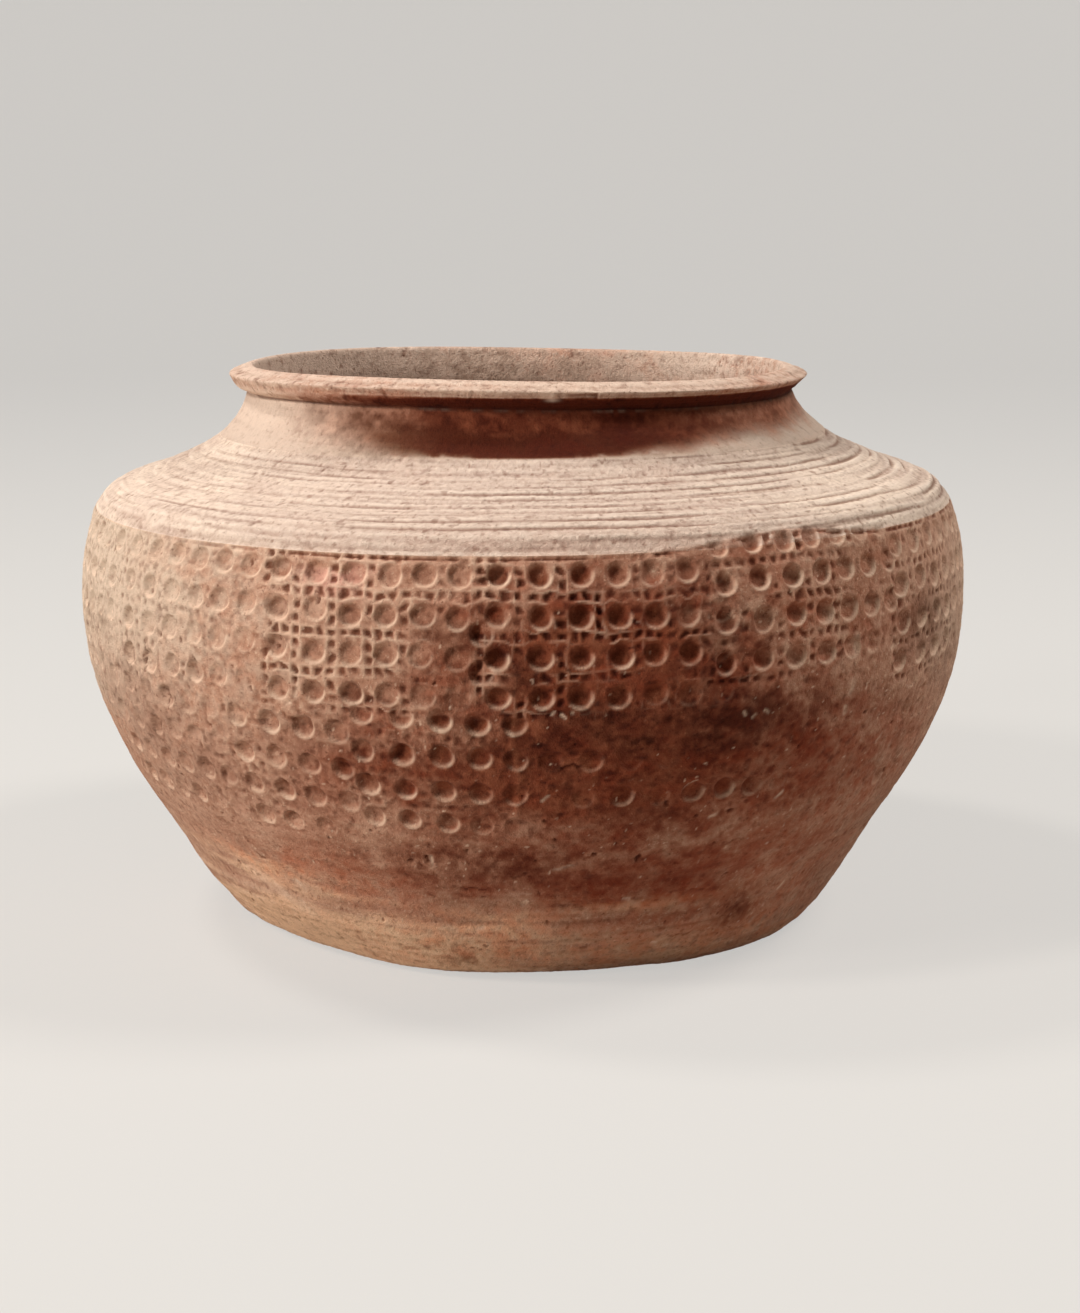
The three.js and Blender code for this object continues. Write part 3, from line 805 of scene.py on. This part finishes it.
def inside_sheet(along, columns):
    """The inside below the lip: finger-drawn coil ridges, wiping lines and dents from the anvil stone."""
    turn = turns(columns)
    along = along[:, None]
    place = inside(along[:, 0])
    out = np.stack([np.interp(along[:, 0], wall_along, wall_normal[:, i]) for i in (0, 1)], -1)
    body = 1 - smooth(along, SHOULDER_TOP - 12, SHOULDER_TOP)
    dents = 0.9 * grain(81, 17, 21, along, turn) + 0.4 * grain(82, 6, 30, along, turn)
    lines = 0.25 * grain(83, 2.4, 150, along, turn) + 0.1 * grain(84, 3, 3, along, turn)
    relief = dents * body + lines
    radius = place[:, :1] + out[:, :1] * relief
    height = place[:, 1:] + out[:, 1:] * relief
    cloud = grain(85, 24, 40, along, turn)
    fields = {name: np.zeros_like(relief) for name in MASKS}
    # painted shade: the inside is paler towards the mouth and darker deep below the shoulder
    fields["dust_and_light"] = 0.35 + 0.6 * smooth(along, 186, 208) + 0.25 * (cloud - 0.5)
    fields["soot_and_shade"] = 0.2 + 0.35 * cloud * body
    fields["soil_and_shade"] = 0.25 * grain(86, 4, 6, along, turn)
    return shaped_by_hand(radius, height, turn), fields


def flat_sheet(radii, height, columns, seed, sway):
    """A level face at a height, waved by a little noise, as rings from the first radius to the last."""
    turn = turns(columns)
    radius = np.asarray(radii, float)[:, None]
    wave = sway * (grain(seed, 9, 20, radius, turn) - 0.5)
    points = shaped_by_hand(radius + 0 * turn, height + wave, turn)
    fields = {name: np.zeros_like(wave) for name in MASKS}
    fields["dust_and_light"] = 0.3 + 0.3 * grain(seed + 1, 12, 30, radius, turn)
    fields["soil_and_shade"] = 0.3 * grain(seed + 2, 5, 8, radius, turn)
    return points, fields


UV_PARTS = 4  # the unrolled bands are cut in four and stacked, so that they fill the square


def unrolled(share, cell, v):
    """Where a corner lies in the unrolled picture: its share of the turn, and v within its cell's part."""
    part = np.floor(cell * UV_PARTS)
    u = 0.004 + 0.992 * (share * UV_PARTS - part)
    return np.stack(np.broadcast_arrays(u, (part + 0.01 + 0.98 * v) / UV_PARTS), -1)


def sewn(low, high, low_v, high_v):
    """Faces between two rings, quads where they have as many points and fans where one has more.

    Each face is given as its vertex numbers and its places in the unrolled picture, anticlockwise.
    """
    if len(low) == len(high):
        n = len(low)
        i = np.arange(n)
        mid = (i + 0.5) / n
        face = np.stack([low, np.roll(low, -1), np.roll(high, -1), high], 1)
        corners = [(i, low_v), (i + 1, low_v), (i + 1, high_v), (i, high_v)]
        return [(face, np.stack([unrolled(step / n, mid, v) for step, v in corners], 1))]
    flip = len(low) < len(high)
    many, few = (high, low) if flip else (low, high)
    many_v, few_v = (high_v, low_v) if flip else (low_v, high_v)
    k = len(many) // len(few)
    i = np.arange(len(many))
    cell = i // k
    apex = cell + (i % k >= k // 2)
    pole = len(few) == 1
    mid = (i + 0.5) / len(many) if pole else (cell + 0.5) / len(few)
    tip = mid if pole else apex / len(few)
    face = np.stack([many[i], many[(i + 1) % len(many)], few[apex % len(few)]], 1)
    places = [
        unrolled(i / len(many), mid, many_v),
        unrolled((i + 1) / len(many), mid, many_v),
        unrolled(tip, mid, few_v),
    ]
    faces = [(face, np.stack(places, 1))]
    if not pole:
        j = np.arange(len(few))
        mid = (j + 0.5) / len(few)
        face = np.stack([many[j * k + k // 2], few[(j + 1) % len(few)], few], 1)
        places = [unrolled((j + 0.5) / len(few), mid, many_v), unrolled((j + 1) / len(few), mid, few_v)]
        places.append(unrolled(j / len(few), mid, few_v))
        faces.append((face, np.stack(places, 1)))
    if flip:
        faces = [(face[:, ::-1], places[:, ::-1]) for face, places in faces]
    return faces


def closed_piece(name, strips, open_ends=False):
    """A closed mesh from strips, each (points, masks, share of the picture, hidden), sewn end to end.

    The last strip is sewn back to the first, unless both ends come to a point on the axis. Hidden strips
    are joint faces: the rings that bound them are sharp, so that the shading outside ignores them.
    """
    shares = np.array([share for _, _, share, _ in strips], float)
    tops = np.cumsum(shares) / shares.sum()
    faces, rings, start = [], [], 0
    for (points, _, _, _), top, share in zip(strips, tops, shares / shares.sum()):
        rows, columns = points.shape[:2]
        numbers = start + np.arange(rows * columns).reshape(rows, columns)
        v = np.linspace(top - share * 0.97, top - share * 0.03, rows)
        rings.append((numbers, v))
        for i in range(rows - 1):
            faces += sewn(numbers[i], numbers[i + 1], v[i], v[i + 1])
        start += rows * columns
    joins = list(zip(rings, rings[1:]))
    if not open_ends:
        joins.append((rings[-1], rings[0]))
    for (low, low_v), (high, high_v) in joins:
        wrap = low_v[-1] > high_v[0]
        faces += sewn(low[-1], high[0], low_v[-1], 1.0 if wrap else high_v[0])
    sharp_ring = np.full(start, -1)
    for i, (_, _, _, hidden) in enumerate(strips):
        if hidden:
            before, after = rings[i - 1][0][-1], rings[(i + 1) % len(rings)][0][0]
            sharp_ring[before], sharp_ring[after] = 2 * i, 2 * i + 1
    return made_mesh(name, strips, faces, sharp_ring)


def placed(name, data):
    """A new object with that data, put into the scene."""
    thing = bpy.data.objects.new(name, data)
    bpy.context.scene.collection.objects.link(thing)
    return thing


def made_mesh(name, strips, faces, sharp_ring):
    """Puts points, faces, the unrolled picture's places, the sharp rings and the masks into a mesh."""
    points = np.concatenate([p.reshape(-1, 3) for p, _, _, _ in strips]) * MM
    loops = np.concatenate([face.ravel() for face, _ in faces])
    places = np.concatenate([place.reshape(-1, 2) for _, place in faces])
    sizes = np.concatenate([np.full(len(face), face.shape[1]) for face, _ in faces])
    mesh = bpy.data.meshes.new(name)
    mesh.vertices.add(len(points))
    mesh.vertices.foreach_set("co", points.astype(np.float32).ravel())
    mesh.loops.add(len(loops))
    mesh.loops.foreach_set("vertex_index", loops.astype(np.int32))
    mesh.polygons.add(len(sizes))
    mesh.polygons.foreach_set("loop_start", np.r_[0, np.cumsum(sizes)[:-1]].astype(np.int32))
    mesh.uv_layers.new(name="OFBake").uv.foreach_set("vector", places.astype(np.float32).ravel())
    mesh.update(calc_edges=True)
    for mask in MASKS:
        values = np.concatenate([fields[mask].ravel() for _, fields, _, _ in strips])
        mesh.attributes.new(mask, "FLOAT", "POINT").data.foreach_set("value", values.astype(np.float32))
    ends = np.empty(len(mesh.edges) * 2, np.int32)
    mesh.edges.foreach_get("vertices", ends)
    ends = sharp_ring[ends.reshape(-1, 2)]
    sharp = (ends[:, 0] >= 0) & (ends[:, 0] == ends[:, 1])
    mesh.attributes.new("sharp_edge", "BOOLEAN", "EDGE").data.foreach_set("value", sharp)
    return placed(name, mesh)


def joint_face(first, last, shift):
    """The middle ring of a joint face, between an outer and an inner ring, drawn back by the slip."""
    step_out, step_in = len(first) // COARSE, len(last) // COARSE
    ring = (first[::step_out] + last[::step_in]) / 2 + [0, 0, shift]
    return ring[None], {name: np.zeros((1, COARSE)) for name in MASKS}, 0.01, True


def rows_between(sheet, low, high):
    points, fields = sheet
    return points[low : high + 1], {name: value[low : high + 1] for name, value in fields.items()}


def srgb(text):
    """A hex colour as linear red, green, blue and alpha."""
    parts = [int(text[i : i + 2], 16) / 255 for i in (1, 3, 5)]
    return (*[c / 12.92 if c <= 0.04045 else ((c + 0.055) / 1.055) ** 2.4 for c in parts], 1)


def add(tree, kind, settings=(), **links):
    """Adds a node, sets its properties or sockets, and links others' outputs to its inputs.

    A socket's key is its name, or an underscore and its number.
    """
    node = tree.nodes.new("ShaderNode" + kind)

    def socket(key):
        return node.inputs[int(key[1:]) if key[1:].isdigit() else key.replace("_", " ")]

    for key, value in dict(settings).items():
        if hasattr(node, key):
            setattr(node, key, value)
        else:
            socket(key).default_value = value
    for key, output in links.items():
        tree.links.new(output, socket(key))
    return node


# Noises in the clay: size in mm, detail, roughness
NOISES = {"clouds": (18, 3, 0.6), "mottle": (4, 3, 0.6), "grit": (1.3, 4, 0.7), "sand": (0.6, 2, 0.6)}

# Coats from the clay's body up: the noise or mask that drives each, the noise's values at its start and
# its full strength, its share as a number or as the finish names it, its colour's name, how it is mixed
COATS = [
    ("clouds", (0.35, 0.65), 1, "body_pale", "MIX"),
    ("mottle", (0.48, 0.72), 0.5, "body_deep", "MIX"),
    ("dust_and_light", None, 1, "dust_and_light", "MIX"),
    ("rubbed_and_lit", None, 1, "rubbed_and_lit", "MIX"),
    ("smear", None, 0.8, "smear", "MIX"),
    # wear and painted highlights
    ("worn_and_highlight", None, "wear", "worn_and_highlight", "MIX"),
    ("grit", (0.56, 0.74), "speckle", "worn_and_highlight", "MIX"),
    ("sand", (0.58, 0.8), "speckle", "worn_and_highlight", "MIX"),
    ("grit", (0.44, 0.28), "speckle", "soil_and_shade", "MULTIPLY"),
    ("mottle", (0.5, 0.2), "speckle", "soil_and_shade", "MULTIPLY"),
    ("ruddy", None, 1, "ruddy", "MULTIPLY"),
    ("dark", None, 1, "dark", "MULTIPLY"),
    ("soot_and_shade", None, 1, "soot_and_shade", "MULTIPLY"),
    # soil and painted shade, by each finish's share
    ("soil_and_shade", None, "dirt_and_shade", "soil_and_shade", "MULTIPLY"),
    ("chip_and_highlight", None, 0.75, "worn_and_highlight", "MIX"),
]


def fired_clay(name, finish):
    """Unglazed earthenware: matt, sandy, mottled by the fire, and dusty where it was never wiped.

    The body colour swings between two clays in clouds of 18 mm and mottles of 4 mm. Pale dust, wear, grit
    of 1.3 mm and sand of 0.6 mm lie on it; the dust and rubbed coats also hold painted light, and the wear
    and chip coats painted highlights. The fire's tints, smoke and soil then darken all of that by their own
    share, with painted shade among them. Bump is the sand in the clay, drawn a little coarser than real so
    that it shows.
    """
    material = bpy.data.materials.new(name)
    material.use_nodes = True
    tree = material.node_tree
    shader = tree.nodes["Principled BSDF"]
    where = add(tree, "TexCoord").outputs["Object"]

    fields = {}
    for kind, (size, detail, roughness) in NOISES.items():
        sizes = {"Scale": 1 / (size * MM), "Detail": detail, "Roughness": roughness}
        fields[kind] = add(tree, "TexNoise", sizes, Vector=where).outputs["Fac"]
    for kind in MASKS:
        fields[kind] = add(tree, "Attribute", {"attribute_name": kind}).outputs["Fac"]

    colours = {**TINTS, **finish}
    below = {}
    for kind, limits, share, colour, how in COATS:
        factor = fields[kind]
        if limits:
            rise = {"From_Min": limits[0], "From_Max": limits[1], "interpolation_type": "SMOOTHSTEP"}
            factor = add(tree, "MapRange", rise, Value=factor).outputs["Result"]
        factor = add(tree, "Math", {"operation": "MULTIPLY", "_1": finish.get(share, share)}, _0=factor)
        mix = {"data_type": "RGBA", "blend_type": how}
        mix |= {"_6": srgb(finish["body"]), "_7": srgb(colours[colour])}
        below = {"_6": add(tree, "Mix", mix, _0=factor.outputs[0], **below).outputs[2]}
    tree.links.new(below["_6"], shader.inputs["Base Color"])

    spread = {"To_Min": finish["rough"] - 0.06, "To_Max": finish["rough"] + 0.05}
    rough = add(tree, "MapRange", spread, Value=fields["mottle"])
    tree.links.new(rough.outputs["Result"], shader.inputs["Roughness"])
    shader.inputs["Specular IOR Level"].default_value = 0.15

    coarse = add(tree, "Math", {"operation": "MULTIPLY", "_1": 0.6}, _0=fields["grit"])
    fine = add(tree, "Math", {"operation": "MULTIPLY", "_1": 0.4}, _0=fields["sand"])
    grains = add(tree, "Math", {"operation": "ADD"}, _0=coarse.outputs[0], _1=fine.outputs[0])
    tall = {"Strength": 0.7, "Distance": finish["grain"] * MM}
    sandy = add(tree, "Bump", tall, Height=grains.outputs[0])
    tree.links.new(sandy.outputs["Normal"], shader.inputs["Normal"])
    return material


# What the fire, smoke, soil and painted shade leave of the clay's own colour, and the pinkish slip smeared
# on one print
TINTS = {"ruddy": "#FBCFBE", "dark": "#B38571", "soot_and_shade": "#A08C7D", "soil_and_shade": "#95705E", "smear": "#D9A08E"}
FINISHES = {
    # Stamped and paddled wall: tan where dust and air reached it and, as painted light, on its upper left
    "belly_clay": dict(
        body="#B18168", body_pale="#C09279", body_deep="#9C6B53",
        dust_and_light="#C8B19C", rubbed_and_lit="#F2C8A4", worn_and_highlight="#E6C6AC",
        wear=0.5, dirt_and_shade=0.85, speckle=0.65, rough=0.92, grain=1.1,
    ),
    # Turned shoulder: a sandy bloom of dust over the same clay
    "shoulder_clay": dict(
        body="#B48A72", body_pale="#C69E87", body_deep="#A0755D",
        dust_and_light="#CCB4A4", rubbed_and_lit="#E6CFBB", worn_and_highlight="#EFDCCA",
        wear=0.6, dirt_and_shade=0.7, speckle=0.5, rough=0.95, grain=1.4,
    ),
    # Wiped neck: red-brown, smoked black with the lip's painted shadow at the front, and dusty at the sides
    "neck_clay": dict(
        body="#B58166", body_pale="#C08E74", body_deep="#A27058",
        dust_and_light="#CFB8A6", rubbed_and_lit="#CFB8A6", worn_and_highlight="#D9B9A2",
        wear=0.4, dirt_and_shade=0.6, speckle=0.4, rough=0.93, grain=1.1,
    ),
    # Lip: pale and chalky where it was handled, red-brown below its edge, where shade is painted
    "rim_clay": dict(
        body="#B58166", body_pale="#C29079", body_deep="#A27058",
        dust_and_light="#D5B8A4", rubbed_and_lit="#D5B8A4", worn_and_highlight="#E9D3C0",
        wear=0.45, dirt_and_shade=0.7, speckle=0.85, rough=0.94, grain=1.5,
    ),
    # Base: scuffed, sandy and streaked where it was cut and rubbed, and palest at the foot's left as painted
    # light
    "base_clay": dict(
        body="#B88468", body_pale="#C79679", body_deep="#A56F55",
        dust_and_light="#D3B096", rubbed_and_lit="#F2C8A4", worn_and_highlight="#E6C6AC",
        wear=0.5, dirt_and_shade=0.65, speckle=0.6, rough=0.94, grain=0.85,
    ),
}


def stations(edges):
    """Distances along the outside with every seam on one of them, and each seam's row."""
    runs, seams, count = [], [0], 0
    for (low, step), (high, _) in zip(edges, edges[1:]):
        steps = math.ceil((high - low) / step)
        runs.append(np.linspace(low, high, steps, endpoint=False))
        count += steps
        seams.append(count)
    return np.r_[np.concatenate(runs), edges[-1][0]], seams


def inner_rows(high, low, columns):
    """The inside strip of a coil, from its upper joint down to its lower one."""
    count = math.ceil((high - low) / (INSIDE_STEP if columns == COARSE else NECK_INSIDE_STEP)) + 1
    return inside_sheet(np.linspace(high, low, count) - LAP, columns)


def build_jar():
    """Every piece, from the base up. A coil goes up its outside, in, down its inside and out again."""
    belly = np.linspace(BASE_SEAM, BELLY_TOP, BELLY_COILS + 1)
    shoulder = np.linspace(BELLY_TOP, SHOULDER_TOP, SHOULDER_COILS + 1)
    seams = [*belly, *shoulder[1:], LIP_SEAM]
    steps = [SCRAPE_STEP] * 2 + [STAMP_STEP] * (BELLY_COILS + SHOULDER_COILS - 1)
    edges = [(FOOT_START, SCRAPE_STEP), *zip(seams, [*steps, LIP_STEP]), (LIP_END, None)]
    edges = [(float(at), step) for at, step in edges]
    along, rows = stations(edges)
    sheet = outside_sheet(along)
    names = [f"belly_coil_{i + 1}" for i in range(BELLY_COILS)]
    names += [f"shoulder_coil_{i + 1}" for i in range(SHOULDER_COILS)] + ["neck_collar"]
    slots = ["belly_clay"] * BELLY_COILS + ["shoulder_clay"] * SHOULDER_COILS + ["neck_clay"]
    made = []

    for i, (node, slot) in enumerate(zip(names, slots)):
        outer = rows_between(sheet, rows[i + 1], rows[i + 2])
        columns = NECK_FINE if node == "neck_collar" else COARSE
        inner = inner_rows(seams[i + 1], seams[i], columns)
        top = joint_face(outer[0][-1], inner[0][0], -SLIP)
        bottom = joint_face(inner[0][-1], outer[0][0], SLIP)
        strips = [(*outer, 0.8, False), top, (*inner, 0.18, False), bottom]
        made.append((node, slot, closed_piece("wall_" + node, strips)))

    outer = rows_between(sheet, rows[-2], rows[-1])
    face = joint_face(outer[0][-1], outer[0][0], SLIP)
    made.append(("rim_flange", "rim_clay", closed_piece("wall_rim_flange", [(*outer, 1, False), face])))

    outer = rows_between(sheet, 0, rows[1])
    edge = inside_sheet(np.array([BASE_SEAM - LAP]), COARSE)
    under_pole = flat_sheet([2, 6, 12, 18], UNDERSIDE, POLE, 95, 0.3)
    under = flat_sheet(np.linspace(20, 86, 30), UNDERSIDE, COARSE, 95, 0.3)
    floor = flat_sheet(np.linspace(94, 20, 32), FLOOR_TOP, COARSE, 97, 0.7)
    floor_pole = flat_sheet([18, 12, 6, 2], FLOOR_TOP, POLE, 97, 0.7)
    centre = [flat_sheet([0], z, 1, seed, 0) for z, seed in ((UNDERSIDE, 95), (FLOOR_TOP, 97))]
    strips = [(*centre[0], 0.01, False), (*under_pole, 0.1, False), (*under, 0.25, False)]
    strips += [(*outer, 0.4, False), joint_face(outer[0][-1], edge[0][0], -SLIP), (*edge, 0.01, False)]
    strips += [(*floor, 0.25, False), (*floor_pole, 0.1, False), (*centre[1], 0.01, False)]
    made.append(("base_disc", "base_clay", closed_piece("wall_base_disc", strips, open_ends=True)))
    return made


# Lamps: place, height of the spot on the axis that it faces, size in metres, watts, colour
LAMPS = {
    "key": ((-0.95, 0.2, 1.75), 0.12, 0.35, 16, (1, 0.99, 0.97)),
    "window": ((-1.25, -0.85, 1.35), 0.1, 0.3, 19, (1, 0.98, 0.95)),
    "low": ((-1.5, -0.95, 0.62), 0.08, 0.4, 13.3, (1, 0.98, 0.95)),
    "right": ((1.05, -0.05, 1.5), 0.12, 0.5, 18, (1, 0.99, 0.97)),
}


def softbox(name, eye, at_height, size, watts, colour):
    """A round soft lamp that faces a spot on the jar's axis."""
    light = bpy.data.lights.new(name, "AREA")
    light.shape = "DISK"
    light.size = size
    light.energy = watts
    light.color = colour
    lamp = placed(name, light)
    lamp.location = eye
    ahead = Vector((0, 0, at_height)) - Vector(eye)
    lamp.rotation_euler = ahead.to_track_quat("-Z", "Y").to_euler()


def camera_seen(tree):
    """1 for rays that the eye, a gloss or a clear thing sends, and 0 for those that light the jar."""
    path = add(tree, "LightPath").outputs
    both = add(tree, "Math", {"operation": "MAXIMUM"}, _0=path["Is Camera Ray"], _1=path["Is Glossy Ray"])
    node = add(tree, "Math", {"operation": "MAXIMUM"}, _0=both.outputs[0], _1=path["Is Transmission Ray"])
    return node.outputs[0]


GLOW_SHARE = 0.62  # of the backdrop's colour that the eye sees whatever light falls on it


def backdrop():
    """A pale studio bowl: a level floor that curves up into a round wall, seen pale from every side."""
    radius, bend, height = 3.4, 0.8, 3.2
    angle = np.linspace(-math.pi / 2, 0, 16)
    profile = [(0.0, 0.0), (radius - bend, 0.0)]
    profile += [(radius - bend + bend * math.cos(a), bend + bend * math.sin(a)) for a in angle[1:]]
    profile.append((radius, height))
    turn = np.linspace(0, 2 * math.pi, 97)[:-1]
    r, z = np.array(profile[1:]).T
    ring = np.stack([np.outer(r, np.sin(turn)), -np.outer(r, np.cos(turn)), np.outer(z, np.ones(96))], -1)
    points = np.vstack([[[0, 0, 0]], ring.reshape(-1, 3)])
    numbers = 1 + np.arange(ring[..., 0].size).reshape(ring.shape[:2])
    after = np.roll(numbers, -1, 1)
    faces = np.stack([numbers[:-1], numbers[1:], after[1:], after[:-1]], -1).reshape(-1, 4).tolist()
    faces += [(0, int(a), int(b)) for a, b in zip(numbers[0], after[0])]
    mesh = bpy.data.meshes.new("studio_bowl")
    mesh.from_pydata(points.tolist(), [], faces)
    mesh.shade_smooth()
    bowl = placed("studio_bowl", mesh)
    material = bpy.data.materials.new("pale_paper")
    material.use_nodes = True
    tree = material.node_tree
    paper = tree.nodes["Principled BSDF"]
    paper.inputs["Base Color"].default_value = srgb("#BBB5AD")
    paper.inputs["Roughness"].default_value = 1
    glow = add(tree, "Emission", {"Color": srgb("#F1EEEA"), "Strength": 1})
    share = add(tree, "Math", {"operation": "MULTIPLY", "_1": GLOW_SHARE}, _0=camera_seen(tree))
    mix = add(tree, "MixShader", (), _0=share.outputs[0], _1=paper.outputs[0], _2=glow.outputs[0])
    tree.links.new(mix.outputs[0], tree.nodes["Material Output"].inputs["Surface"])
    mesh.materials.append(material)


def studio():
    """Four soft lamps in a dim, pale room: high left, front left, low front left, and right."""
    world = bpy.data.worlds.new("studio")
    world.use_nodes = True
    tree = world.node_tree
    low = tree.nodes["Background"]
    low.inputs["Color"].default_value = srgb("#E8E4DF")
    low.inputs["Strength"].default_value = 0.05
    seen = add(tree, "Background", {"Color": srgb("#EFECE8"), "Strength": 1})
    mix = add(tree, "MixShader", (), _0=camera_seen(tree), _1=low.outputs[0], _2=seen.outputs[0])
    tree.links.new(mix.outputs[0], tree.nodes["World Output"].inputs["Surface"])
    bpy.context.scene.world = world
    for name, lamp in LAMPS.items():
        softbox(name, *lamp)


def camera():
    eye = bpy.data.cameras.new("camera")
    eye.sensor_fit = "VERTICAL"
    eye.sensor_height = SENSOR
    eye.sensor_width = SENSOR
    eye.lens = FOCAL_SHARE * SENSOR
    eye.clip_start = 0.01
    eye.clip_end = 50
    seat = placed("camera", eye)
    seat.location = (0, -CAMERA_AWAY * MM, CAMERA_HEIGHT * MM)
    seat.rotation_euler = (math.radians(90 - CAMERA_PITCH), 0, math.radians(-CAMERA_TURN))
    bpy.context.scene.camera = seat


camera()
finishes = {slot: fired_clay("fired_" + slot, finish) for slot, finish in FINISHES.items()}
for node, slot, piece in build_jar():
    piece.data.materials.append(finishes[slot])
    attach(piece, "root")
    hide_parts(node)
backdrop()
studio()
bpy.context.scene.view_settings.view_transform = "Standard"
